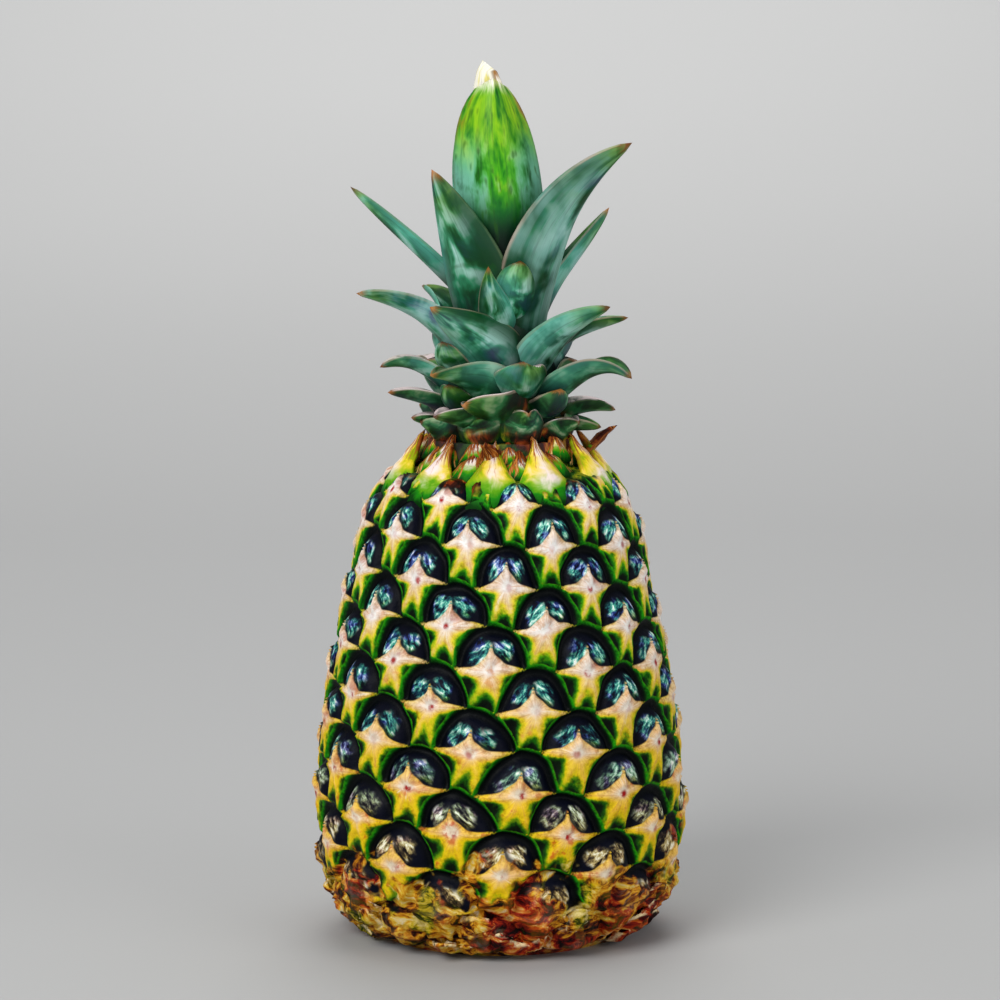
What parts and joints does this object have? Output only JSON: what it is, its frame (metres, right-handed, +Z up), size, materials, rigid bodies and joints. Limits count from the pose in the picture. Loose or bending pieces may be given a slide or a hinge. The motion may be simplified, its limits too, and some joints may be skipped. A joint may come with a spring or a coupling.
{
  "type": "pineapple",
  "caption": "Whole pineapple standing on its base, its eyes in spirals with star shaped bracts, under a crown of stiff channelled leaves.",
  "frame": {"origin": "centre of the base that the fruit stands on, on the face of its cut stalk", "axes": "+Z up along the fruit's axis, towards the crown; -Y towards the front"},
  "size_m": [0.133, 0.133, 0.3075],
  "materials": {
    "rind": "waxy, green and dark in the eyes, pink white to yellow on the star shaped bracts",
    "leaf": "satin, blue green with a pale bloom, yellow green at the heart, brown at the tips"
  },
  "bodies": {
    "root": {"fruit": "rind", "crown": "leaf"}
  },
  "joints": []
}
